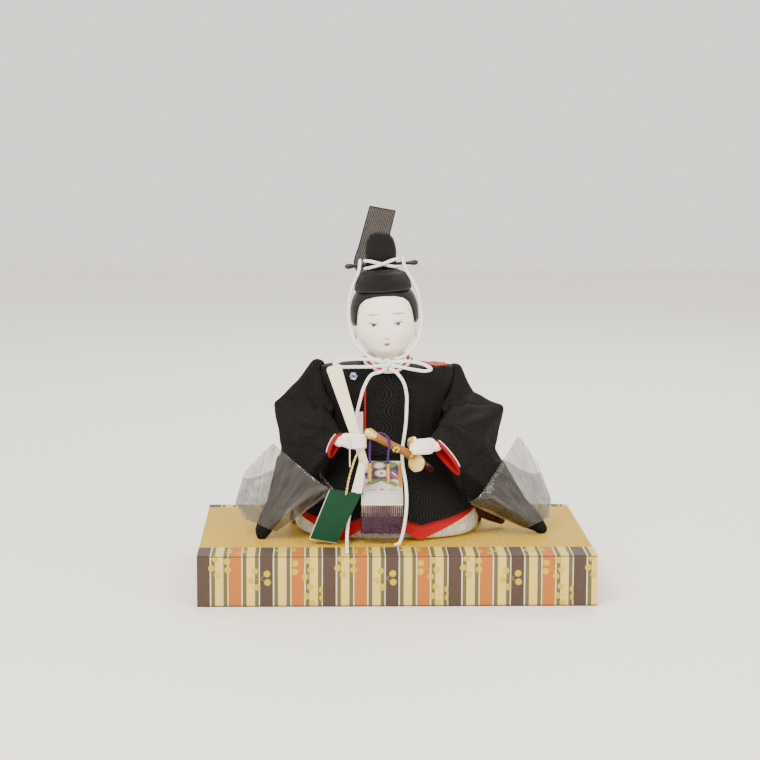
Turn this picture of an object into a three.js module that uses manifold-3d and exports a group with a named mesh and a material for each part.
// A seated court-noble doll on its mat-covered dais. It is built from the inside out: a straw core on a
// wooden board, wide trousers, a red under robe, a black robe with wired sleeves, hands, a head on a
// peg, a stiff hat, cords, a tablet, a sword, a sash and a paper tag.
// Millimetres, +Z up, the doll looks towards -Y. The origin is the middle of the dais underside.
import * as THREE from 'three';
import { ConvexGeometry } from 'three/addons/geometries/ConvexGeometry.js';
import { mergeVertices } from 'three/addons/utils/BufferGeometryUtils.js';
import Module from 'manifold-3d';

// Clearance between pieces that lie against each other
const FIT = 0.3;

// Dais: a block covered with a mat between two brocade edgings
const DAIS_WIDTH = 300;
const DAIS_DEPTH = 200;
const DAIS_HEIGHT = 39;
const DAIS_CLOTH = 1;
const FRONT_BAND = 30;
const BACK_BAND = 13;

// Place of the doll on the dais
const DOLL_X = -5;
const DOLL_Y = 10;

// Robed body: half width, front reach and back reach at heights above the seat
const BODY = [
  { z: 0, half: 77, front: 63, back: 50 },
  { z: 18, half: 77, front: 62, back: 51 },
  { z: 34, half: 68, front: 55, back: 49 },
  { z: 56, half: 54, front: 45, back: 43 },
  { z: 80, half: 47, front: 37, back: 36 },
  { z: 105, half: 48, front: 32, back: 31 },
  { z: 122, half: 52, front: 26, back: 27 },
  { z: 130, half: 52, front: 19, back: 22 },
];
const BODY_SQUARENESS = 2.6;
const BODY_SIDES = 20;
const ROBE_WALL = 2;
const UNDER_WALL = 1.6;
const NECK_HOLE = 20.5;

// Front hems: each drops from the knees to a low turn on both sides of the sash and rises behind it
const HEM_MIDDLE = -6;
const HEM_TURN = 30.5;
const HEM_KNEE = 70;
const ROBE_HEM = { middle: 25, turn: 12.9, knee: 22 };
const UNDER_HEM = { middle: 18, turn: 0.6, knee: 18.5 };
const LAP_HOLLOW = 14;

// Core: board, straw trunk and trousers
const BOARD_WIDTH = 96;
const BOARD_DEPTH = 66;
const BOARD_THICK = 6;
const BOARD_ROUND = 14;
const TRUNK_FOOT = 24;
const TRUNK_TOP = 118;
const KNEE_TOP = 34;

// Arm wires, wrapped with paper
const WIRE_RADIUS = 1.5;
const WIRE_ROOT = 20;
const WIRE_SHOULDER = 50;
const WIRE_HEIGHT = 106;

// Sleeves, one set of places for each side: the mouth at the wrist and the hanging corner
const SHOULDER_FRONT = { x: 45, y: -12, z: 96, r: 10 };
const SHOULDER_BACK = { x: 45, y: 16, z: 94, r: 10 };
const ELBOW = { x: 86, y: -9, z: 97 };
const ELBOW_LOW = { x: 79, y: -11, z: 77, r: 6 };
const ELBOW_CROOK = { x: 52, y: -22, z: 92, r: 8 };
const SLEEVE_TIP_RADIUS = 2.5;
const SLEEVE_WALL = 1.6;
const LINING_WALL = 1.2;
const POCKET_DEPTH = 22;
const RIGHT_SLEEVE = {
  side: -1,
  peak: { x: 54.4, y: 8, z: 127, r: 7 },
  upperArm: { x: 66, y: 1, z: 114, r: 6 },
  elbowTop: { x: 85.2, y: -9, z: 99.4, r: 4.5 },
  underArm: { x: 80.6, y: -13, z: 66, r: 4 },
  mouth: new THREE.Vector3(-41.4, -57, 74.8),
  mouthLow: new THREE.Vector3(-46.3, -58, 64.9),
  mouthHalf: 5,
  tip: new THREE.Vector3(-98, -48, 3.5),
};
const LEFT_SLEEVE = {
  side: 1,
  peak: { x: 53.6, y: 8, z: 123.6, r: 7.2 },
  upperArm: { x: 64.5, y: 0, z: 103.7, r: 6 },
  elbowTop: { x: 88, y: -9, z: 95.8, r: 4.5 },
  underArm: { x: 82.4, y: -13, z: 64.5, r: 4 },
  mouth: new THREE.Vector3(43, -57.5, 66),
  mouthLow: new THREE.Vector3(54.6, -59.5, 51.7),
  mouthHalf: 6,
  tip: new THREE.Vector3(121, -30, 3.5),
};

// Clear film covers over the sleeve corners, laid out in the plane of the hanging panel.
// across runs towards the wrist, up along the panel, behind is the shift off the panel.
const FILM_WALL = 0.6;
const FILM_TIP_RADIUS = 3.5;
const FILM_TIP_CUT = 9;
const RIGHT_FILM = [
  { across: 46, up: 45, behind: 1.6, r: 8.2 },
  { across: 2, up: 67, behind: 4, r: 14 },
  { across: -27, up: 45, behind: 4, r: 7 },
  { across: -26, up: 22, behind: 2, r: 6 },
];
const LEFT_FILM = [
  { across: 58, up: 35, behind: 0, r: 8.5 },
  { across: 14, up: 71, behind: 4, r: 14 },
  { across: -9, up: 49, behind: 4, r: 7 },
  { across: -10, up: 21, behind: 2, r: 6 },
];

// Hands: a wrist in the sleeve and a closed palm with its fingers
const WRIST_DEPTH = 3.6;
const WRIST_HEIGHT = 4.6;
const PALM_DEPTH = 5.2;
const PALM_HEIGHT = 5.8;
const RIGHT_HAND = {
  wrist: new THREE.Vector3(-41.5, -54, 77.2),
  tip: new THREE.Vector3(-15.5, -63.4, 79.8),
};
const LEFT_HAND = {
  wrist: new THREE.Vector3(39, -54.5, 73.8),
  tip: new THREE.Vector3(13, -68, 75),
};

// Collars: nested rings round the neck, from the white one out to the robe's round collar
const COLLAR_INNER = 10;
const COLLAR_WALL = 1.7;
const COLLAR_FLARE = 5;
const COLLAR_FORWARD = 4;
const COLLAR_BACK = 141;
const COLLAR_FRONT = 129.5;
const COLLAR_STEP = 1;
const COLLAR_SIDES = 24;

// Small things on the robe's front
const EDGE_X = -18;
const EDGE_WIDTH = 1.6;
const EDGE_THICK = 0.8;
const EDGE_TOP = 119;
const EDGE_LOW = 76;
const PAPER_X = -22.8;
const PAPER_WIDTH = 7;
const PAPER_THICK = 1.4;
const PAPER_TOP = 97;
const PAPER_LOW = 77;
const KNOT_BUTTON_X = -27;
const KNOT_BUTTON_Z = 124;
const KNOT_BUTTON_RADIUS = 3.4;
const SHOULDER_FLAP_WIDTH = 19;
const SHOULDER_FLAP_DEPTH = 20;
const SHOULDER_FLAP_THICK = 1.4;

// Belt and train behind
const BELT_LOW = 64;
const BELT_HEIGHT = 8;
const BELT_THICK = 1.4;
const TRAIN_WIDTH = 62;
const TRAIN_THICK = 2;
const TRAIN_END = 86;

// Sash board with its fringe and the film round the fringe
const SASH_X = -5.5;
const SASH_WIDTH = 32;
const SASH_THICK = 1.6;
const SASH_TOP = 60;
const SASH_LOW = 31;
const FRINGE_LOW = 7.5;
const FRINGE_DEPTH = 6;
const FRINGE_RIBS = 11;
const FRINGE_RIB_DEPTH = 0.8;
const WRAP_WALL = 0.6;
const WRAP_LOW = 2.5;

// Head, with its lean to the doll's right
const HEAD_BASE = 136;
const HEAD_TILT = THREE.MathUtils.degToRad(3.5);
const HEAD = [
  { z: 1, half: 6, depth: 6, y: -8 },
  { z: 4.5, half: 12.5, depth: 12.5, y: -6.5 },
  { z: 13, half: 20, depth: 19.5, y: -3.5 },
  { z: 23, half: 24, depth: 24, y: -1 },
  { z: 33, half: 25, depth: 26, y: 1 },
  { z: 43, half: 24, depth: 25.5, y: 2 },
  { z: 51, half: 20, depth: 22, y: 3 },
  { z: 57, half: 12.5, depth: 14, y: 3 },
  { z: 59.5, half: 5, depth: 6, y: 3 },
];
const HEAD_SIDES = 20;
const NECK_RADIUS = 8.5;
const NECK_DROP = 15;
const NECK_RISE = 12;
const EAR_HALF = 2.2;
const EAR_DEPTH = 4;
const EAR_HEIGHT = 6.5;
const EAR_Z = 20;
const NOSE_HALF = 1.9;
const NOSE_REACH = 2.4;
const NOSE_HEIGHT = 5;
const NOSE_Z = 21;
const HAIR_THICK = 1.7;
const HAIRLINE = 49.5;
const FACE_HALF = 21.5;
const HAIR_SIDE_LOW = 26.5;
const HAIR_NAPE = 11;
const HAIR_SIDE_BACK = 9;

// Peg that holds the head in the trunk
const PEG_RADIUS = 3;
const PEG_LOW = 84;
const PEG_TOP = 146;

// Hat: cap, upright crown, pin and tail blade, in the head's own frame
const CAP = [
  { z: 52.5, half: 21, depth: 23.6 },
  { z: 57.5, half: 22, depth: 24.6 },
  { z: 63, half: 20.5, depth: 22.5 },
  { z: 67.5, half: 14.5, depth: 16 },
  { z: 69.5, half: 6, depth: 7 },
];
const CAP_Y = 3;
const CROWN = [
  { z: 60, half: 12, depth: 7 },
  { z: 88, half: 11.6, depth: 6.6 },
  { z: 94, half: 9.2, depth: 5.4 },
  { z: 97, half: 5.6, depth: 3.4 },
  { z: 98, half: 2.4, depth: 1.6 },
];
const CROWN_Y = 8;
const HAT_SIDES = 20;
const PIN_HALF = 29;
const PIN_RADIUS = 1.2;
const PIN_KNOB = 2.2;
const PIN_KNOB_LENGTH = 9;
const PIN_Z = 72.4;
const TAIL_X = -10;
const TAIL_Y = 28;
const TAIL_THICK = 1;
const TAIL_TANG = 8;
const TAIL_TANG_DEPTH = 8.5;
const TAIL_SHOULDER = 61.5;
const SOCKET_WALL = 1.7;

// White cord of the hat: its section, and points in the head's frame for the right side
const CORD_RADIUS = 1.3;
const CORD_SIDES = 8;
const CORD_STEP = 3;
const CHIN_CORD = [
  [16.6, 11.8, 72], [16.6, 9.9, 76], [16.8, 6.2, 76.1], [17.4, 3.4, 72.6], [19, 0.2, 67.2],
  [22.4, -5, 61], [26, -8.5, 52], [28, -9.5, 41], [28.2, -9.8, 30], [26.2, -12.5, 18],
  [21, -18, 9], [13, -25, 3], [5.5, -29.4, 1],
];
const CROSS_UPPER = [[-13.4, 4.2, 70], [-8, -2.4, 71.4], [0, -4, 73.4], [8, -2, 75.9], [13.4, 4.2, 76.4]];
const CROSS_LOWER = [[-13.4, 4.2, 76.4], [-8, -1.6, 75.9], [0, -0.7, 73.4], [8, -2, 71.2], [13.4, 4.2, 70]];
const KNOT = new THREE.Vector3(-0.5, -31.5, 134.6);
const KNOT_HALF = new THREE.Vector3(4.6, 3.4, 3.6);
const RIGHT_LOOP = [
  [-5.3, -32.2, 136.2], [-14, -33, 137.8], [-28, -33.8, 138.2], [-38, -34.8, 136.9], [-42, -35.2, 134.5],
  [-38, -35.6, 132.6], [-27, -35.2, 132.4], [-14, -34.2, 132.4], [-5.3, -32.8, 132.9],
];
const LEFT_LOOP = [
  [4.3, -32.2, 136.2], [12, -33, 136.6], [23, -33.8, 135.4], [30, -34.6, 133], [33, -35, 130.6],
  [29, -35.2, 129.2], [21, -34.8, 130], [11, -34, 131.8], [4.3, -32.8, 132.9],
];
const RIGHT_TAIL = [
  [-2, -32.4, 130.5], [-6, -35.4, 128.6], [-13.4, -38, 126.4], [-18.8, -38.8, 117.6], [-22, -39.4, 107],
  [-24.8, -42, 96], [-26.2, -45, 87], [-25.2, -48, 78], [-22.6, -50.6, 68], [-21.7, -53.6, 58],
  [-23.4, -58.4, 47.4], [-27, -62, 36], [-30, -64.8, 24], [-31.8, -68, 14], [-32.4, -74, 7],
  [-32.6, -82, 2.8], [-32.7, -92, 1.75], [-32.8, -106, 1.7],
];
const LEFT_TAIL = [
  [1, -32.4, 130.5], [6, -35, 128], [11.4, -36.6, 121], [14, -37.2, 111], [14, -38.4, 100],
  [13.4, -42, 90], [12, -46.5, 80], [10.4, -50, 70], [10.6, -56, 59], [12.4, -65.5, 47],
  [13, -71.5, 36], [12.6, -73.5, 26], [11, -74.4, 14], [8.8, -75.4, 5], [7, -77, 1.9], [4, -80.5, 1.7],
];

// Tablet held in the right hand
const TABLET_LENGTH = 82.4;
const TABLET_TOP_WIDTH = 11.6;
const TABLET_FOOT_WIDTH = 5.4;
const TABLET_THICK = 1.6;
const TABLET_ROUND = 2.4;
const TABLET_FOOT = new THREE.Vector3(-17.9, -66, 58.6);
const TABLET_HEAD = new THREE.Vector3(-42.4, -50, 133.5);

// Sword under the left arm: guard place, the way from pommel to guard, and the scabbard's line on from there,
// which passes through the robe at the waist and comes out beside the left knee
const SWORD_GUARD = new THREE.Vector3(20.2, -60.5, 65.7);
const SWORD_WAY = new THREE.Vector3(0.794, 0.378, -0.477).normalize();
const HILT_LENGTH = 37;
const HILT_RADIUS = 3.3;
const POMMEL_LENGTH = 8;
const POMMEL_RADIUS = 4;
const GUARD_THICK = 2;
const GUARD_LOBES = [{ up: 11.6, r: 4.8 }, { up: 4.6, r: 4.2 }, { up: -4.4, r: 7 }];
const GUARD_CLEAR = 4.6;
const GUARD_UP = new THREE.Vector3(-0.18, 0.28, 0.94).normalize();
const GUARD_FACING = new THREE.Vector3(0.5, 0.86, -0.1);
const SCABBARD_RADIUS = 3.6;
const SCABBARD = [
  [24.6, -51.5, 61], [27.4, -44.5, 57], [34, -37.5, 50.5], [46, -29.5, 39.5], [61, -21, 25], [76, -14, 12.5],
  [91, -7, 6],
];
const TASSEL_RADIUS = 0.9;
const TUBE_RADIUS = 1.7;
const TUBE_LENGTH = 14.4;
const TUBE_TOP = 63.5;
const RIGHT_TUBE = { x: -15.2, y: -72.4 };
const LEFT_TUBE = { x: -1.4, y: -76.4 };
const TASSEL_LAP = [
  { along: 40, turn: 105 }, { along: 38, turn: 60 }, { along: 35.5, turn: 20 }, { along: 32.5, turn: -20 },
  { along: 29.5, turn: -60 }, { along: 27.3, turn: -105 },
];
const TASSEL_PITCH = 0.4;

// Paper tag: a small label above a folded card, on a thin string and a tinsel tie
const TAG_THICK = 0.7;
const TAG_Y = -69;
const TAG_LEAN = THREE.MathUtils.degToRad(4);
const TAG_LABEL = { left: -23.4, right: -17.8, top: 63.4 };
const TAG_CARD = { left: -45.2, right: -21.2, top: 43.2, footLeft: -60.6, footRight: -40, footDrop: 38 };
const TAG_CARD_SLANT = 3.4;
const TAG_LEAF_TURN = THREE.MathUtils.degToRad(3.5);
const TAG_LEAF_SPREAD = THREE.MathUtils.degToRad(3);
const STRING_RADIUS = 0.5;
const STRING = [[-29.6, -61.75, 86.4], [-30.4, -66, 82], [-30.4, -69.2, 75], [-30.4, -70.8, 67], [-30.3, -71.4, 60.5]];
const TIE_RADIUS = 0.9;
const TIE = [[-23.6, -66.4, 71.2], [-26.2, -70.4, 67], [-28.6, -71.5, 60.5], [-31.2, -72, 51], [-33.4, -72.4, 39]];

const wasm = await Module();
wasm.setup();

// How far a cutting form runs past what it cuts
const PAST = 20;

// Solids: a merged geometry becomes a solid for a boolean, and the result a geometry again

function toSolid(geometry) {
  const bare = geometry.clone();
  bare.deleteAttribute('normal');
  bare.deleteAttribute('uv');
  const merged = mergeVertices(bare, 1e-4);
  return new wasm.Manifold(new wasm.Mesh({
    numProp: 3,
    vertProperties: new Float32Array(merged.attributes.position.array),
    triVerts: new Uint32Array(merged.index.array),
  }));
}

function toGeometry(solid) {
  const mesh = solid.getMesh();
  const geometry = new THREE.BufferGeometry();
  geometry.setAttribute('position', new THREE.BufferAttribute(mesh.vertProperties, 3));
  geometry.setIndex(new THREE.BufferAttribute(mesh.triVerts, 1));
  geometry.computeVertexNormals();
  return geometry;
}

function join(first, ...rest) {
  return toGeometry(rest.reduce((solid, next) => solid.add(toSolid(next)), toSolid(first)));
}

function cut(first, ...rest) {
  return toGeometry(rest.reduce((solid, next) => solid.subtract(toSolid(next)), toSolid(first)));
}

function common(first, second) {
  return toGeometry(toSolid(first).intersect(toSolid(second)));
}

// Skin over a row of rings with the same number of points, capped at its ends or closed on itself

function skin(rings, closed = false) {
  const around = rings[0].length;
  const points = rings.flat().map((point) => point.clone());
  const faces = [];
  const spans = closed ? rings.length : rings.length - 1;
  for (let r = 0; r < spans; r += 1) {
    const here = r * around;
    const next = ((r + 1) % rings.length) * around;
    for (let i = 0; i < around; i += 1) {
      const j = (i + 1) % around;
      faces.push([here + i, here + j, next + i], [here + j, next + j, next + i]);
    }
  }
  if (!closed) {
    for (const [r, turn] of [[0, true], [rings.length - 1, false]]) {
      const middle = new THREE.Vector3();
      rings[r].forEach((point) => middle.addScaledVector(point, 1 / around));
      points.push(middle);
      for (let i = 0; i < around; i += 1) {
        const a = r * around + i;
        const b = r * around + ((i + 1) % around);
        faces.push(turn ? [b, a, points.length - 1] : [a, b, points.length - 1]);
      }
    }
  }
  const volume = faces.reduce((sum, [a, b, c]) => (
    sum + points[a].dot(points[b].clone().cross(points[c]))), 0);
  const outward = volume > 0 ? faces : faces.map(([a, b, c]) => [a, c, b]);
  const geometry = new THREE.BufferGeometry().setFromPoints(points);
  geometry.setIndex(outward.flat());
  geometry.computeVertexNormals();
  return geometry;
}

function ringOf(sides, pointAt) {
  return Array.from({ length: sides }, (_, i) => {
    const turn = (i / sides) * 2 * Math.PI;
    return pointAt(Math.cos(turn), Math.sin(turn), turn);
  });
}

function vectors(points) {
  return points.map((point) => new THREE.Vector3(...point));
}

function cordAlong(points, radius, pitch = radius) {
  const path = new THREE.CatmullRomCurve3(points);
  const section = ringOf(CORD_SIDES, (c, s) => new THREE.Vector2(radius * c, radius * s));
  const steps = Math.max(2, Math.round(path.getLength() / (CORD_STEP * 2 * pitch)));
  return new THREE.ExtrudeGeometry(new THREE.Shape(section), {
    steps,
    extrudePath: path,
    bevelEnabled: false,
  });
}

// Prisms: an outline in Y and Z run along X, and an outline in X and Z run towards -Y

function alongX(outline, width, x) {
  const shape = new THREE.Shape(outline.map(([y, z]) => new THREE.Vector2(y, z)));
  const geometry = new THREE.ExtrudeGeometry(shape, { depth: width, bevelEnabled: false });
  const basis = new THREE.Matrix4().makeBasis(
    new THREE.Vector3(0, 1, 0),
    new THREE.Vector3(0, 0, 1),
    new THREE.Vector3(1, 0, 0),
  );
  return geometry.applyMatrix4(basis).translate(x - width / 2, 0, 0);
}

function towardsFront(outline, depth, y) {
  const shape = new THREE.Shape(outline.map(([x, z]) => new THREE.Vector2(x, z)));
  const geometry = new THREE.ExtrudeGeometry(shape, { depth, bevelEnabled: false });
  return geometry.rotateX(Math.PI / 2).translate(0, y, 0);
}

function boxBetween(low, high) {
  const size = high.clone().sub(low);
  const middle = low.clone().add(high).multiplyScalar(0.5);
  return new THREE.BoxGeometry(size.x, size.y, size.z).translate(middle.x, middle.y, middle.z);
}

function hullOf(balls) {
  const points = [];
  for (const { at, r } of balls) {
    const ball = new THREE.IcosahedronGeometry(r, 1).attributes.position;
    for (let i = 0; i < ball.count; i += 1) {
      points.push(new THREE.Vector3().fromBufferAttribute(ball, i).add(at));
    }
  }
  return new ConvexGeometry(points);
}

function ellipsoid(half, at, across = 16, down = 10) {
  return new THREE.SphereGeometry(1, across, down)
    .scale(half.x, half.y, half.z)
    .translate(at.x, at.y, at.z);
}

// Materials and nodes

function finish(color, roughness, metalness = 0) {
  return new THREE.MeshStandardMaterial({ color, roughness, metalness });
}

const BLACK_SILK = finish(0x14130f, 0.75);
const RED_SILK = finish(0xd21a1c, 0.6);
const WHITE_SILK = finish(0xe9e2d2, 0.7);
const GOFUN = finish(0xf3ebe0, 0.45);
const WHITE_CORD = finish(0xf2efe6, 0.7);
const BLACK_LACQUER = finish(0x17171a, 0.55);
const GOLD_METAL = finish(0xb89a4e, 0.35, 0.8);
const PALE_GOLD = finish(0xd8cd8a, 0.45, 0.4);
const AMBER = finish(0x9a5a1c, 0.3);
const WOOD = finish(0xb98f5a, 0.7);
const STRAW = finish(0xcab272, 0.9);
const FILM = finish(0xcfcabd, 0.1);
const BROCADE = finish(0xb08a62, 0.7);

const doll = new THREE.Group();
doll.position.set(DOLL_X, DOLL_Y, DAIS_HEIGHT);

function addTo(group, name, geometry, material) {
  const mesh = new THREE.Mesh(geometry, material);
  mesh.name = name;
  group.add(mesh);
  return mesh;
}

// Dais: the block, its mat, the two edgings that fold over its top and the cloth on its ends

const dais = new THREE.Group();
const halfWidth = DAIS_WIDTH / 2;
const halfDepth = DAIS_DEPTH / 2;
const coreTop = DAIS_HEIGHT - DAIS_CLOTH;
addTo(dais, 'dais_core', boxBetween(
  new THREE.Vector3(-halfWidth + DAIS_CLOTH, -halfDepth + DAIS_CLOTH, 0),
  new THREE.Vector3(halfWidth - DAIS_CLOTH, halfDepth - DAIS_CLOTH, coreTop),
), WOOD);
addTo(dais, 'mat_facing', boxBetween(
  new THREE.Vector3(-halfWidth, -halfDepth + FRONT_BAND, coreTop),
  new THREE.Vector3(halfWidth, halfDepth - BACK_BAND, DAIS_HEIGHT),
), finish(0xc9a04c, 0.8));

function edging(face, band) {
  const inward = -Math.sign(face);
  const inner = face + inward * DAIS_CLOTH;
  const edge = face + inward * band;
  return alongX([
    [face, 0], [face, DAIS_HEIGHT], [edge, DAIS_HEIGHT], [edge, coreTop], [inner, coreTop], [inner, 0],
  ], DAIS_WIDTH, 0);
}

addTo(dais, 'front_edging', edging(-halfDepth, FRONT_BAND), BROCADE);
addTo(dais, 'back_edging', edging(halfDepth, BACK_BAND), BROCADE);
for (const [name, face] of [['right_end_cloth', -halfWidth], ['left_end_cloth', halfWidth]]) {
  const inner = face - Math.sign(face) * DAIS_CLOTH;
  addTo(dais, name, boxBetween(
    new THREE.Vector3(Math.min(face, inner), -halfDepth + DAIS_CLOTH, 0),
    new THREE.Vector3(Math.max(face, inner), halfDepth - DAIS_CLOTH, coreTop),
  ), BROCADE);
}

// Body form: nested layers share it, each set in from the robe's outside

const bulge = (value) => Math.sign(value) * Math.abs(value) ** (2 / BODY_SQUARENESS);

function bodyForm(inset) {
  const top = BODY.at(-1);
  const levels = [{ ...BODY[0], z: -PAST }, ...BODY.slice(0, -1), { ...top, z: top.z - inset }];
  return skin(levels.map(({ z, half, front, back }) => ringOf(BODY_SIDES, (c, s) => new THREE.Vector3(
    (half - inset) * bulge(c),
    ((s < 0 ? front : back) - inset) * bulge(s),
    z,
  ))));
}

function slab(low, high) {
  return boxBetween(new THREE.Vector3(-400, -400, low), new THREE.Vector3(400, 400, high));
}

function bodyLevel(z) {
  const above = Math.max(1, BODY.findIndex((level) => level.z >= z));
  const [a, b] = [BODY[above - 1], BODY[above]];
  const share = (z - a.z) / (b.z - a.z);
  const mix = (key) => a[key] + (b[key] - a[key]) * share;
  return { half: mix('half'), front: mix('front'), back: mix('back') };
}

function frontAt(x, z) {
  const { half, front } = bodyLevel(z);
  return -front * (1 - (Math.abs(x) / half) ** BODY_SQUARENESS) ** (1 / BODY_SQUARENESS);
}

// Strip of cloth or paper that follows the robe's front, given by its middle line and thickness

function strip(line, thick) {
  const path = line.map(([y, z]) => new THREE.Vector2(y, z));
  const side = (i) => {
    const before = path[Math.max(0, i - 1)];
    const after = path[Math.min(path.length - 1, i + 1)];
    const way = after.clone().sub(before).normalize();
    return new THREE.Vector2(way.y, -way.x).multiplyScalar(thick / 2);
  };
  const outer = path.map((point, i) => point.clone().add(side(i)));
  const inner = path.map((point, i) => point.clone().sub(side(i))).reverse();
  return outer.concat(inner).map((point) => [point.x, point.y]);
}

function onFront(x, heights, thick) {
  return heights.map((z) => [frontAt(x, z) - FIT - thick / 2, z]);
}

// Arm wires run from the trunk through the sleeves into the hands

function wirePath({ side }, { wrist, tip }) {
  return [
    new THREE.Vector3(side * WIRE_ROOT, 4, WIRE_HEIGHT),
    new THREE.Vector3(side * WIRE_SHOULDER, 3, WIRE_HEIGHT - 2),
    new THREE.Vector3(side * 76, -9, 88),
    new THREE.Vector3(side * 58, -31, 80),
    wrist.clone(),
    wrist.clone().lerp(tip, 0.34),
  ];
}

function wireBore(path) {
  const radius = WIRE_RADIUS + FIT;
  const end = new THREE.Vector3(radius, radius, radius);
  return join(
    cordAlong(path, radius, WIRE_RADIUS),
    ellipsoid(end, path[0], 8, 6),
    ellipsoid(end, path.at(-1), 8, 6),
  );
}

const arms = [
  { name: 'right', sleeve: RIGHT_SLEEVE, hand: RIGHT_HAND, film: RIGHT_FILM },
  { name: 'left', sleeve: LEFT_SLEEVE, hand: LEFT_HAND, film: LEFT_FILM },
];
for (const arm of arms) {
  const path = wirePath(arm.sleeve, arm.hand);
  arm.wireRoom = wireBore(path);
  addTo(doll, `${arm.name}_arm_wire`, cordAlong(path, WIRE_RADIUS), finish(0xd8d2c4, 0.8));
}
const wireRooms = arms.map((arm) => arm.wireRoom);

// Sword: the hilt's own frame runs from the guard towards the pommel along +Z, the guard leans off it

const sword = new THREE.Group();
sword.position.copy(SWORD_GUARD);
sword.quaternion.setFromUnitVectors(new THREE.Vector3(0, 0, 1), SWORD_WAY.clone().negate());
sword.updateMatrix();

function turned(profile, sides = 14) {
  const points = profile.map(([r, z]) => new THREE.Vector2(r, z));
  return new THREE.LatheGeometry(points, sides).rotateX(Math.PI / 2);
}

const hiltTop = GUARD_CLEAR + HILT_LENGTH;
const hiltMiddle = GUARD_CLEAR + HILT_LENGTH / 2;
const hilt = turned([
  [0, GUARD_CLEAR],
  [HILT_RADIUS, GUARD_CLEAR],
  [HILT_RADIUS * 0.88, hiltMiddle],
  [HILT_RADIUS, hiltTop],
  [POMMEL_RADIUS, hiltTop + POMMEL_LENGTH * 0.45],
  [POMMEL_RADIUS * 0.75, hiltTop + POMMEL_LENGTH * 0.9],
  [0, hiltTop + POMMEL_LENGTH],
]);

function guardPlate(grow) {
  const facing = GUARD_FACING.clone().projectOnPlane(GUARD_UP).normalize();
  const frame = new THREE.Matrix4()
    .makeBasis(GUARD_UP.clone().cross(facing), GUARD_UP, facing)
    .setPosition(SWORD_GUARD);
  const half = GUARD_THICK / 2 + grow;
  return join(...GUARD_LOBES.map(({ up, r }) => upright(r + grow, -half, half).translate(0, up, 0)))
    .applyMatrix4(frame);
}

function scabbardForm(grow) {
  const path = [SWORD_GUARD.clone().addScaledVector(SWORD_WAY, GUARD_CLEAR), ...vectors(SCABBARD)];
  const r = SCABBARD_RADIUS + grow;
  return join(cordAlong(path, r, SCABBARD_RADIUS), ellipsoid(new THREE.Vector3(r, r, r), path.at(-1), 12, 8));
}

addTo(sword, 'sword_hilt', hilt, AMBER);
addTo(doll, 'sword_guard', guardPlate(0), PALE_GOLD);
addTo(doll, 'sword_scabbard', scabbardForm(0), finish(0x4a1014, 0.3));
const scabbardRoom = scabbardForm(FIT);
const hiltRoom = turned([
  [0, 0], [HILT_RADIUS + FIT, 0], [HILT_RADIUS + FIT, hiltTop], [0, hiltTop],
]).applyMatrix4(sword.matrix);
const swordRoom = [hiltRoom, guardPlate(FIT), scabbardRoom];

// Board, trunk and trousers

function boardForm(grow, low, high) {
  const [w, d] = [BOARD_WIDTH / 2 + grow, BOARD_DEPTH / 2 + grow];
  const r = BOARD_ROUND + grow;
  const outline = new THREE.Shape();
  outline.absarc(w - r, d - r, r, 0, Math.PI / 2);
  outline.absarc(r - w, d - r, r, Math.PI / 2, Math.PI);
  outline.absarc(r - w, r - d, r, Math.PI, 1.5 * Math.PI);
  outline.absarc(w - r, r - d, r, 1.5 * Math.PI, 2 * Math.PI);
  return new THREE.ExtrudeGeometry(outline, { depth: high - low, bevelEnabled: false, curveSegments: 5 })
    .translate(0, 0, low);
}

function upright(radius, low, high, sides = 24) {
  return new THREE.CylinderGeometry(radius, radius, high - low, sides)
    .rotateX(Math.PI / 2)
    .translate(0, 0, (low + high) / 2);
}

const CORE_INSET = ROBE_WALL + UNDER_WALL + 2 * FIT;
const lapHollow = towardsFront([
  [HEM_MIDDLE - HEM_TURN, -PAST], [HEM_MIDDLE + HEM_TURN, -PAST], [HEM_MIDDLE, UNDER_HEM.middle],
], 2 * BODY[0].front, LAP_HOLLOW - BODY[0].front);
addTo(doll, 'base_board', boardForm(0, 0, BOARD_THICK), WOOD);
addTo(doll, 'straw_trunk', cut(
  join(
    common(bodyForm(CORE_INSET), slab(KNEE_TOP + FIT, TRUNK_TOP)),
    upright(TRUNK_FOOT, BOARD_THICK + FIT, KNEE_TOP + 2),
  ),
  upright(PEG_RADIUS + FIT, PEG_LOW - FIT, TRUNK_TOP + PAST, 16),
  scabbardRoom,
  ...wireRooms,
), STRAW);
addTo(doll, 'hakama', cut(
  common(bodyForm(CORE_INSET), slab(0, KNEE_TOP)),
  boardForm(FIT, -PAST, BOARD_THICK + FIT),
  upright(TRUNK_FOOT + FIT, 0, KNEE_TOP + PAST),
  lapHollow,
  scabbardRoom,
), WHITE_SILK);

// Under robe and robe: two shells over the core, open at the neck and cut to their hems in front

function belowHem({ middle, turn, knee }) {
  const far = 200;
  const rise = (knee - turn) / (HEM_KNEE - HEM_TURN);
  const edge = knee + (far - HEM_KNEE) * rise;
  return towardsFront([
    [-far, -PAST], [far, -PAST], [far, edge],
    [HEM_MIDDLE + HEM_TURN, turn], [HEM_MIDDLE, middle], [HEM_MIDDLE - HEM_TURN, turn],
    [-far, edge],
  ], far, 0);
}

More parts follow.
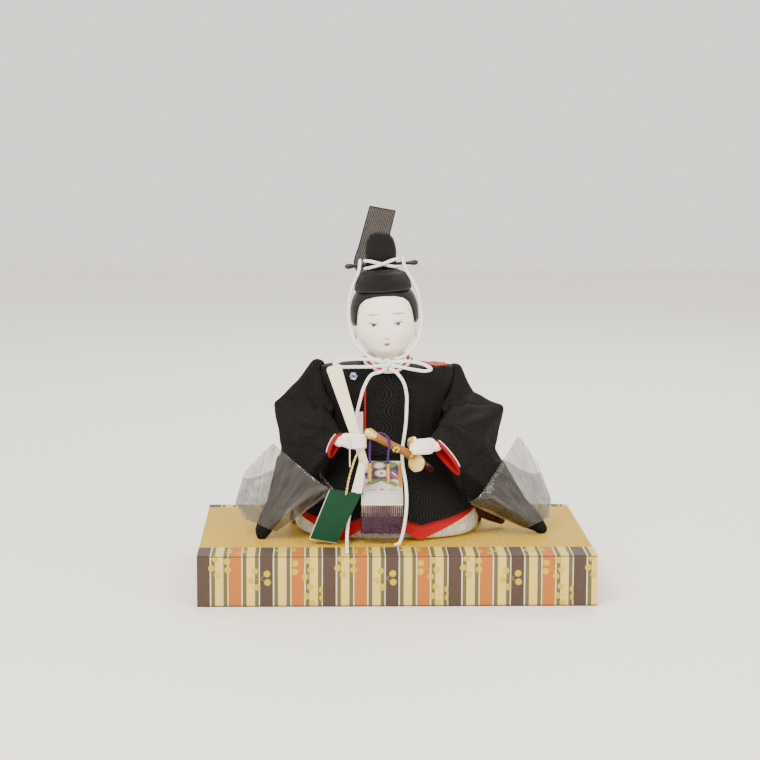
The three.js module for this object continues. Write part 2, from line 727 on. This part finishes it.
const neckRound = upright(NECK_HOLE, TRUNK_TOP - FIT, TRUNK_TOP + PAST);
const neckHole = join(neckRound, neckRound.clone().translate(0, -COLLAR_FORWARD, 0));
addTo(doll, 'under_robe', cut(
  common(bodyForm(ROBE_WALL + FIT), slab(FIT, 400)),
  bodyForm(CORE_INSET - FIT),
  belowHem(UNDER_HEM),
  neckHole,
  scabbardRoom,
  ...wireRooms,
), RED_SILK);
addTo(doll, 'robe_body', cut(
  common(bodyForm(0), slab(FIT, 400)),
  bodyForm(ROBE_WALL),
  belowHem(ROBE_HEM),
  neckHole,
  scabbardRoom,
  ...wireRooms,
), BLACK_SILK);

// Belt and train

const beltHigh = BELT_LOW + BELT_HEIGHT;
addTo(doll, 'belt', cut(
  common(bodyForm(-FIT - BELT_THICK), slab(BELT_LOW, beltHigh)),
  bodyForm(-FIT),
), BLACK_LACQUER);
const beltRoom = common(bodyForm(-2 * FIT - BELT_THICK), slab(BELT_LOW - FIT, beltHigh + FIT));
const trainOff = FIT + TRAIN_THICK / 2;
addTo(doll, 'train', alongX(strip([
  [bodyLevel(BELT_LOW - 2).back + trainOff, BELT_LOW - 2],
  [bodyLevel(40).back + trainOff, 40],
  [bodyLevel(20).back + trainOff + 1.2, 20],
  [bodyLevel(8).back + trainOff + 4.5, 8],
  [TRAIN_END - 22, FIT + TRAIN_THICK / 2 + 0.8],
  [TRAIN_END, FIT + TRAIN_THICK / 2],
], TRAIN_THICK), TRAIN_WIDTH, 0), BLACK_SILK);

// Tablet: a flat board, narrow at the foot, in the frame of its middle line

const tabletWay = TABLET_HEAD.clone().sub(TABLET_FOOT).normalize();
const tabletAcross = new THREE.Vector3(1, 0, 0).projectOnPlane(tabletWay).normalize();
const tabletFacing = tabletAcross.clone().cross(tabletWay);
const tabletFrame = new THREE.Matrix4()
  .makeBasis(tabletAcross, tabletWay, tabletFacing)
  .setPosition(TABLET_FOOT);

function tabletForm(grow) {
  const [foot, top] = [TABLET_FOOT_WIDTH / 2 + grow, TABLET_TOP_WIDTH / 2 + grow];
  const high = TABLET_LENGTH + grow;
  const outline = new THREE.Shape();
  outline.moveTo(-foot, -grow);
  outline.lineTo(foot, -grow);
  outline.lineTo(top, high - TABLET_ROUND);
  outline.quadraticCurveTo(top, high, top - TABLET_ROUND, high);
  outline.lineTo(TABLET_ROUND - top, high);
  outline.quadraticCurveTo(-top, high, -top, high - TABLET_ROUND);
  const depth = TABLET_THICK + 2 * grow;
  return new THREE.ExtrudeGeometry(outline, { depth, bevelEnabled: false, curveSegments: 4 })
    .translate(0, 0, -depth / 2);
}

const tablet = new THREE.Group();
tablet.applyMatrix4(tabletFrame);
addTo(tablet, 'tablet', tabletForm(0), finish(0xe8dcb8, 0.55));

// Hands: a wrist and a closed palm along a line, cut clear of what they hold

function handForm({ wrist, tip }, grow) {
  const way = tip.clone().sub(wrist);
  const length = way.length();
  way.normalize();
  const up = new THREE.Vector3(0, 0, 1).projectOnPlane(way).normalize();
  const side = way.clone().cross(up);
  const stations = [
    [-grow, WRIST_DEPTH, WRIST_HEIGHT],
    [length * 0.3, WRIST_DEPTH, WRIST_HEIGHT],
    [length * 0.5, PALM_DEPTH, PALM_HEIGHT],
    [length * 0.8, PALM_DEPTH * 0.96, PALM_HEIGHT * 0.92],
    [length * 0.95, PALM_DEPTH * 0.7, PALM_HEIGHT * 0.7],
    [length + grow, PALM_DEPTH * 0.35, PALM_HEIGHT * 0.4],
  ];
  return skin(stations.map(([along, depth, height]) => ringOf(16, (c, s) => wrist.clone()
    .addScaledVector(way, along)
    .addScaledVector(side, (depth + grow) * c)
    .addScaledVector(up, (height + grow) * s))));
}

const tabletRoom = tabletForm(FIT).applyMatrix4(tabletFrame);
addTo(doll, 'right_hand', cut(handForm(RIGHT_HAND, 0), tabletRoom, arms[0].wireRoom), GOFUN);
addTo(doll, 'left_hand', cut(handForm(LEFT_HAND, 0), ...swordRoom, arms[1].wireRoom), GOFUN);

// Sleeves: a full upper part, a forearm that hangs to a pointed corner, a pocket at the mouth and its lining

function place({ x, y, z, r }, side) {
  return { at: new THREE.Vector3(side * x, y, z), r };
}

function mouthFrame({ side, mouth, mouthLow, mouthHalf }) {
  const elbow = place(ELBOW, side).at;
  const long = mouthLow.clone().sub(mouth);
  const half = long.length();
  long.normalize();
  const out = mouth.clone().sub(elbow).projectOnPlane(long).normalize();
  return { mouth, long, half, out, wide: long.clone().cross(out), across: mouthHalf };
}

function mouthRing({ mouth, long, half, out, wide, across }, inset, along, share = 1) {
  return ringOf(16, (c, s) => mouth.clone()
    .addScaledVector(out, along)
    .addScaledVector(long, (half - inset) * share * c)
    .addScaledVector(wide, (across - inset) * share * s));
}

function pocketForm(frame, inset, along) {
  return skin([
    mouthRing(frame, inset, along),
    mouthRing(frame, inset, 0),
    mouthRing(frame, inset, -POCKET_DEPTH * 0.5, 0.94),
    mouthRing(frame, inset, -POCKET_DEPTH + inset, 0.7),
  ]);
}

function sleeveForm(sleeve) {
  const { side, tip } = sleeve;
  const frame = mouthFrame(sleeve);
  const mouthPoints = (inset) => mouthRing(frame, inset, -inset).map((at) => ({ at, r: 0.01 }));
  const [front, back, low, crook] = [SHOULDER_FRONT, SHOULDER_BACK, ELBOW_LOW, ELBOW_CROOK]
    .map((ball) => place(ball, side));
  const [peak, upperArm, elbowTop, underArm] = [sleeve.peak, sleeve.upperArm, sleeve.elbowTop, sleeve.underArm]
    .map((ball) => place(ball, side));
  const within = ({ at, r }) => ({ at, r: r * 0.96 });
  return join(
    hullOf([peak, front, back, upperArm]),
    hullOf([within(upperArm), within(front), within(back), elbowTop, low]),
    hullOf([within(elbowTop), within(low), underArm, crook, ...mouthPoints(0)]),
    hullOf([within(underArm), within(crook), { at: tip, r: SLEEVE_TIP_RADIUS }, ...mouthPoints(SLEEVE_WALL / 2)]),
  );
}

const bodyRoom = bodyForm(-FIT);
for (const arm of arms) {
  const frame = mouthFrame(arm.sleeve);
  const pocket = pocketForm(frame, SLEEVE_WALL, PAST);
  const handRoom = handForm(arm.hand, FIT);
  addTo(doll, `${arm.name}_sleeve`, cut(
    sleeveForm(arm.sleeve), bodyRoom, beltRoom, pocket, arm.wireRoom, handRoom,
    ...(arm.sleeve.side > 0 ? swordRoom : []),
  ), BLACK_SILK);
  addTo(doll, `${arm.name}_sleeve_lining`, cut(
    pocketForm(frame, SLEEVE_WALL + FIT, 1),
    pocketForm(frame, SLEEVE_WALL + FIT + LINING_WALL, PAST),
    arm.wireRoom, handRoom,
  ), RED_SILK);
}

// Film covers: a thin hull round the sleeve corner, open towards the arm and at the corner's point

function panelFrame({ side, mouthLow, tip }) {
  const elbow = place(ELBOW, side).at.sub(tip);
  const facing = elbow.cross(mouthLow.clone().sub(tip)).normalize();
  if (facing.y > 0) {
    facing.negate();
  }
  const up = new THREE.Vector3(0, 0, 1).projectOnPlane(facing).normalize();
  const across = up.clone().cross(facing).multiplyScalar(-side);
  return { across, up, facing };
}

function filmForm(sleeve, rim) {
  const { across, up, facing } = panelFrame(sleeve);
  const spot = (a, b, c) => sleeve.tip.clone()
    .addScaledVector(across, a)
    .addScaledVector(up, b)
    .addScaledVector(facing, c);
  const balls = (inset) => [{ at: sleeve.tip, r: FILM_TIP_RADIUS - inset }].concat(
    rim.map((knob) => ({ at: spot(knob.across, knob.up, -knob.behind), r: knob.r - inset })),
  );
  const shell = cut(hullOf(balls(0)), hullOf(balls(FILM_WALL)));
  const [corner, top, outer, low] = rim;
  const keep = [
    [corner.across + 20, corner.up + 2 - 20 * 0.6],
    [corner.across, corner.up + 2],
    [top.across, top.up + 2],
    [outer.across, outer.up + 2],
    [outer.across - 40, outer.up - 20],
    [low.across - 40, -PAST],
    [-16, FILM_TIP_CUT],
    [16, FILM_TIP_CUT - 6],
    [corner.across + 20, -PAST],
  ];
  const side = sleeve.side;
  const shape = new THREE.Shape(keep.map(([a, b]) => new THREE.Vector2(-side * a, b)));
  const basis = new THREE.Matrix4()
    .makeBasis(across.clone().multiplyScalar(-side), up, facing)
    .setPosition(sleeve.tip);
  const prism = new THREE.ExtrudeGeometry(shape, { depth: 120, bevelEnabled: false })
    .translate(0, 0, -60)
    .applyMatrix4(basis);
  return common(common(shell, prism), slab(FIT, 400));
}

for (const { name, sleeve, film } of arms) {
  addTo(doll, `${name}_sleeve_cover`, filmForm(sleeve, film), FILM);
}

// Collars: rings of a slanted section, lower in front, standing on the trunk

function collar(order, top, drop) {
  const inner = COLLAR_INNER + order * (COLLAR_WALL + FIT);
  const low = TRUNK_TOP + FIT;
  const rings = ringOf(COLLAR_SIDES, (c, s) => {
    const front = 0.5 - 0.5 * s;
    const high = top - drop * front ** 1.6;
    const flare = COLLAR_FLARE * ((high - low) / (COLLAR_BACK - TRUNK_TOP));
    const at = (r, z) => new THREE.Vector3(r * c, r * s - COLLAR_FORWARD * front ** 1.6, z);
    return [
      at(inner, low), at(inner + COLLAR_WALL, low),
      at(inner + COLLAR_WALL + flare, high), at(inner + flare, high),
    ];
  });
  return skin(rings, true);
}

const collarDrop = COLLAR_BACK - COLLAR_FRONT;
addTo(doll, 'white_collar', collar(0, COLLAR_BACK, collarDrop), WHITE_SILK);
addTo(doll, 'red_collar', collar(1, COLLAR_BACK - COLLAR_STEP, collarDrop), RED_SILK);
addTo(doll, 'second_collar', collar(2, COLLAR_BACK - 2 * COLLAR_STEP, collarDrop), WHITE_SILK);
addTo(doll, 'robe_collar', collar(3, COLLAR_BACK - 4 * COLLAR_STEP, collarDrop), BLACK_SILK);

// Small pieces on the robe: the red edge of the overlap, folded paper, the collar's knot, the shoulder flap

const edgeHeights = [EDGE_TOP, 105, 92, EDGE_LOW];
addTo(doll, 'front_edge', alongX(
  strip(onFront(EDGE_X, edgeHeights, EDGE_THICK), EDGE_THICK), EDGE_WIDTH, EDGE_X), RED_SILK);
addTo(doll, 'pocket_paper', alongX(
  strip(onFront(PAPER_X + PAPER_WIDTH / 2, [PAPER_TOP, PAPER_LOW], PAPER_THICK), PAPER_THICK),
  PAPER_WIDTH, PAPER_X), finish(0xd9cfd6, 0.8));
addTo(doll, 'collar_knot', ellipsoid(
  new THREE.Vector3(KNOT_BUTTON_RADIUS, KNOT_BUTTON_RADIUS * 0.8, KNOT_BUTTON_RADIUS),
  new THREE.Vector3(
    KNOT_BUTTON_X,
    frontAt(KNOT_BUTTON_X, KNOT_BUTTON_Z - KNOT_BUTTON_RADIUS * 0.5) - FIT - KNOT_BUTTON_RADIUS * 0.8,
    KNOT_BUTTON_Z,
  ), 12, 8), finish(0x9fb0d8, 0.6));
const flapLow = BODY.at(-1).z + FIT;
addTo(doll, 'shoulder_flap', boxBetween(
  new THREE.Vector3(LEFT_SLEEVE.peak.x - 7 - SHOULDER_FLAP_WIDTH, LEFT_SLEEVE.peak.y - 20, flapLow),
  new THREE.Vector3(
    LEFT_SLEEVE.peak.x - 7, LEFT_SLEEVE.peak.y - 20 + SHOULDER_FLAP_DEPTH, flapLow + SHOULDER_FLAP_THICK),
), RED_SILK);

// Sash: a board down the lap, a fringe below it and the film round the fringe

const fringeY = -BODY[0].front - 2 * FIT - WRAP_WALL - FRINGE_DEPTH / 2;
addTo(doll, 'sash_board', alongX(strip([
  [frontAt(SASH_X, SASH_TOP) - FIT - SASH_THICK / 2, SASH_TOP],
  [frontAt(SASH_X, 46) - FIT - SASH_THICK / 2 - 1.2, 46],
  [fringeY, SASH_LOW + FIT],
], SASH_THICK), SASH_WIDTH, SASH_X), finish(0xd9cfc0, 0.8));

function fringeOutline(grow, ribs) {
  const half = SASH_WIDTH / 2 + grow;
  const deep = FRINGE_DEPTH / 2 + grow;
  const points = [new THREE.Vector2(-half, deep), new THREE.Vector2(-half, -deep)];
  const rib = (2 * half) / FRINGE_RIBS;
  for (let i = 0; i < FRINGE_RIBS; i += 1) {
    points.push(new THREE.Vector2(-half + rib * (i + 0.5), -deep));
    points.push(new THREE.Vector2(-half + rib * (i + 1), -deep + (i + 1 < FRINGE_RIBS ? ribs : 0)));
  }
  points.push(new THREE.Vector2(half, deep));
  return new THREE.Shape(points);
}

function fringeForm(grow, ribs, low, high) {
  return new THREE.ExtrudeGeometry(fringeOutline(grow, ribs), { depth: high - low, bevelEnabled: false })
    .translate(SASH_X, fringeY, low);
}

addTo(doll, 'sash_fringe', fringeForm(0, FRINGE_RIB_DEPTH, FRINGE_LOW, SASH_LOW - SASH_THICK / 2), finish(0x4a1a46, 0.8));
addTo(doll, 'fringe_wrap', cut(
  fringeForm(FIT + WRAP_WALL, 0, WRAP_LOW, SASH_LOW - SASH_THICK),
  fringeForm(FIT, 0, -PAST, SASH_LOW + PAST),
), FILM);

// Peg, head, hair and hat. The head's frame leans with the head.

const head = new THREE.Group();
head.position.set(0, 0, HEAD_BASE);
head.rotation.y = -HEAD_TILT;
head.updateMatrix();
addTo(doll, 'neck_peg', upright(PEG_RADIUS, PEG_LOW, PEG_TOP, 16), WOOD);

function headForm(grow) {
  const last = HEAD.length - 1;
  return skin(HEAD.map(({ z, half, depth, y }, i) => ringOf(HEAD_SIDES, (c, s) => new THREE.Vector3(
    (half + grow) * c, y + (depth + grow) * s, z + (i === last ? grow : 0) - (i === 0 ? grow : 0)))));
}

function earForm(side, grow) {
  const at = new THREE.Vector3(side * (HEAD[3].half + 0.6), 4, EAR_Z);
  return ellipsoid(new THREE.Vector3(EAR_HALF + grow, EAR_DEPTH + grow, EAR_HEIGHT + grow), at, 12, 8);
}

const neck = upright(NECK_RADIUS, -NECK_DROP, NECK_RISE);
const nose = ellipsoid(
  new THREE.Vector3(NOSE_HALF, NOSE_REACH, NOSE_HEIGHT),
  new THREE.Vector3(0, HEAD[3].y - HEAD[3].depth + 0.6, NOSE_Z), 10, 8);
const pegRoom = upright(PEG_RADIUS + FIT, -PAST * 2, PEG_TOP - HEAD_BASE + FIT, 16).rotateY(HEAD_TILT);
addTo(head, 'head', cut(join(headForm(0), neck, nose, earForm(-1, 0), earForm(1, 0)), pegRoom), GOFUN);

const hairForm = headForm(FIT + HAIR_THICK);
addTo(head, 'hair', cut(
  hairForm,
  headForm(FIT),
  boxBetween(new THREE.Vector3(-FACE_HALF, -60, -60), new THREE.Vector3(FACE_HALF, 0, HAIRLINE)),
  boxBetween(new THREE.Vector3(-60, -60, -60), new THREE.Vector3(60, HAIR_SIDE_BACK, HAIR_SIDE_LOW)),
  boxBetween(new THREE.Vector3(-60, -60, -60), new THREE.Vector3(60, 60, HAIR_NAPE)),
  earForm(-1, FIT), earForm(1, FIT),
), BLACK_LACQUER);

function hatForm(levels, y, grow) {
  const last = levels.length - 1;
  return skin(levels.map(({ z, half, depth }, i) => ringOf(HAT_SIDES, (c, s) => new THREE.Vector3(
    (half + grow) * c, y + (depth + grow) * s, z + (i === last ? grow : 0)))));
}

const tangTop = TAIL_SHOULDER;
const socketLow = TAIL_SHOULDER - TAIL_TANG_DEPTH - SOCKET_WALL - FIT;
const socketHalf = TAIL_TANG / 2 + FIT + SOCKET_WALL;
const socketDeep = TAIL_THICK / 2 + FIT + SOCKET_WALL;
const socket = boxBetween(
  new THREE.Vector3(TAIL_X - socketHalf, TAIL_Y - socketDeep - 4, socketLow),
  new THREE.Vector3(TAIL_X + socketHalf, TAIL_Y + socketDeep, tangTop - FIT),
);
const tangRoom = boxBetween(
  new THREE.Vector3(TAIL_X - TAIL_TANG / 2 - FIT, TAIL_Y - TAIL_THICK / 2 - FIT, tangTop - TAIL_TANG_DEPTH - FIT),
  new THREE.Vector3(TAIL_X + TAIL_TANG / 2 + FIT, TAIL_Y + TAIL_THICK / 2 + FIT, tangTop + PAST),
);
addTo(head, 'hat_cap', cut(
  join(hatForm(CAP, CAP_Y, 0), socket), headForm(2 * FIT + HAIR_THICK), tangRoom), BLACK_LACQUER);

const pinProfile = [
  [0, -PIN_HALF], [PIN_KNOB * 0.7, -PIN_HALF + 0.8], [PIN_KNOB, -PIN_HALF + 3],
  [PIN_RADIUS, -PIN_HALF + PIN_KNOB_LENGTH], [PIN_RADIUS, PIN_HALF - PIN_KNOB_LENGTH],
  [PIN_KNOB, PIN_HALF - 3], [PIN_KNOB * 0.7, PIN_HALF - 0.8], [0, PIN_HALF],
];
const pin = turned(pinProfile, 10).rotateY(Math.PI / 2).translate(0, CROWN_Y, PIN_Z);
const pinRoom = upright(PIN_RADIUS + FIT, -PIN_HALF, PIN_HALF, 12)
  .rotateY(Math.PI / 2)
  .translate(0, CROWN_Y, PIN_Z);
addTo(head, 'hat_crown', cut(hatForm(CROWN, CROWN_Y, 0), hatForm(CAP, CAP_Y, FIT), pinRoom), BLACK_LACQUER);
addTo(head, 'hat_pin', pin, finish(0x2a1a14, 0.3));

const tailOutline = [
  [TAIL_X - TAIL_TANG / 2, tangTop - TAIL_TANG_DEPTH], [TAIL_X + TAIL_TANG / 2, tangTop - TAIL_TANG_DEPTH],
  [TAIL_X + TAIL_TANG / 2, tangTop], [-4, tangTop + 1], [1.5, 73], [14, 112.8], [-6, 117.8],
  [-21.5, 72], [-17, tangTop + 1], [TAIL_X - TAIL_TANG / 2, tangTop],
];
addTo(head, 'hat_tail', towardsFront(tailOutline, TAIL_THICK, TAIL_Y + TAIL_THICK / 2), finish(0x1c1712, 0.6));

// Hat cord: down both cheeks, crossed before the crown, tied below the chin, with two loops and two ends

addTo(doll, 'bow_knot', ellipsoid(KNOT_HALF, KNOT, 12, 8), WHITE_CORD);

function inHead(points, side = 1) {
  return points.map(([x, y, z]) => new THREE.Vector3(side * x, y, z).applyMatrix4(head.matrix));
}

for (const { name, sleeve } of arms) {
  addTo(doll, `${name}_chin_cord`, cordAlong(inHead(CHIN_CORD, sleeve.side), CORD_RADIUS), WHITE_CORD);
}
addTo(doll, 'upper_cross_cord', cordAlong(inHead(CROSS_UPPER), CORD_RADIUS), WHITE_CORD);
addTo(doll, 'lower_cross_cord', cordAlong(inHead(CROSS_LOWER), CORD_RADIUS), WHITE_CORD);
const knotted = [
  ['right_bow_loop', RIGHT_LOOP], ['left_bow_loop', LEFT_LOOP],
  ['right_cord_tail', RIGHT_TAIL], ['left_cord_tail', LEFT_TAIL],
];
for (const [name, points] of knotted) {
  addTo(doll, name, cordAlong(vectors(points), CORD_RADIUS), WHITE_CORD);
}

// Sword tassel: a cord over the hilt with a metal tube on each end

const hiltUp = new THREE.Vector3(0, 0, 1).projectOnPlane(SWORD_WAY).normalize();
const hiltBack = hiltUp.clone().cross(SWORD_WAY);
const lapRadius = HILT_RADIUS + TASSEL_RADIUS + FIT;
const lap = TASSEL_LAP.map(({ along, turn }) => SWORD_GUARD.clone()
  .addScaledVector(SWORD_WAY, -along)
  .addScaledVector(hiltUp, lapRadius * Math.cos(THREE.MathUtils.degToRad(turn)))
  .addScaledVector(hiltBack, lapRadius * Math.sin(THREE.MathUtils.degToRad(turn))));
const strandTop = TUBE_TOP + FIT;
addTo(doll, 'sword_cord', cordAlong([
  new THREE.Vector3(RIGHT_TUBE.x, RIGHT_TUBE.y, strandTop),
  new THREE.Vector3(RIGHT_TUBE.x, RIGHT_TUBE.y, strandTop + 10),
  ...lap,
  new THREE.Vector3(LEFT_TUBE.x, LEFT_TUBE.y, strandTop + 8),
  new THREE.Vector3(LEFT_TUBE.x, LEFT_TUBE.y, strandTop),
], TASSEL_RADIUS, TASSEL_PITCH), finish(0x3a1a5c, 0.7));
for (const [name, { x, y }] of [['right_cord_tube', RIGHT_TUBE], ['left_cord_tube', LEFT_TUBE]]) {
  const tube = upright(TUBE_RADIUS, TUBE_TOP - TUBE_LENGTH, TUBE_TOP, 12).translate(x, y, 0);
  addTo(doll, name, tube, GOLD_METAL);
}

// Tag: the label and the front leaf are one plate, the back leaf hangs open behind it

const tag = new THREE.Group();
tag.position.set(0, TAG_Y, TAG_LABEL.top);
tag.rotation.x = -TAG_LEAN;
const tagDown = (z) => z - TAG_LABEL.top;
const cardTop = tagDown(TAG_CARD.top);
const cardFoot = cardTop - TAG_CARD.footDrop;
const card = [
  [TAG_CARD.left, cardTop], [TAG_CARD.footLeft, cardFoot],
  [TAG_CARD.footRight, cardFoot - TAG_CARD_SLANT], [TAG_CARD.right, cardTop - TAG_CARD_SLANT],
];
const label = [
  [TAG_LABEL.left, 0], [TAG_LABEL.left - 6, cardTop - TAG_CARD_SLANT],
  [TAG_CARD.right, cardTop - TAG_CARD_SLANT], [TAG_LABEL.right, 0],
];
const leaf = towardsFront(card, TAG_THICK, TAG_THICK / 2);
const backLeaf = leaf.clone()
  .translate(-TAG_CARD.right, TAG_THICK * 0.8, -cardTop)
  .rotateX(TAG_LEAF_SPREAD)
  .rotateY(TAG_LEAF_TURN)
  .translate(TAG_CARD.right, 0, cardTop);
addTo(tag, 'tag_card', join(leaf, towardsFront(label, TAG_THICK, TAG_THICK / 2), backLeaf), finish(0x1c5a3c, 0.7));
addTo(doll, 'tag_string', cordAlong(vectors(STRING), STRING_RADIUS), finish(0xe6dfc4, 0.7));
addTo(doll, 'tag_tie', cordAlong(vectors(TIE), TIE_RADIUS), GOLD_METAL);

doll.add(sword, tablet, head, tag);
const object = new THREE.Group();
object.add(dais, doll);

export default object;
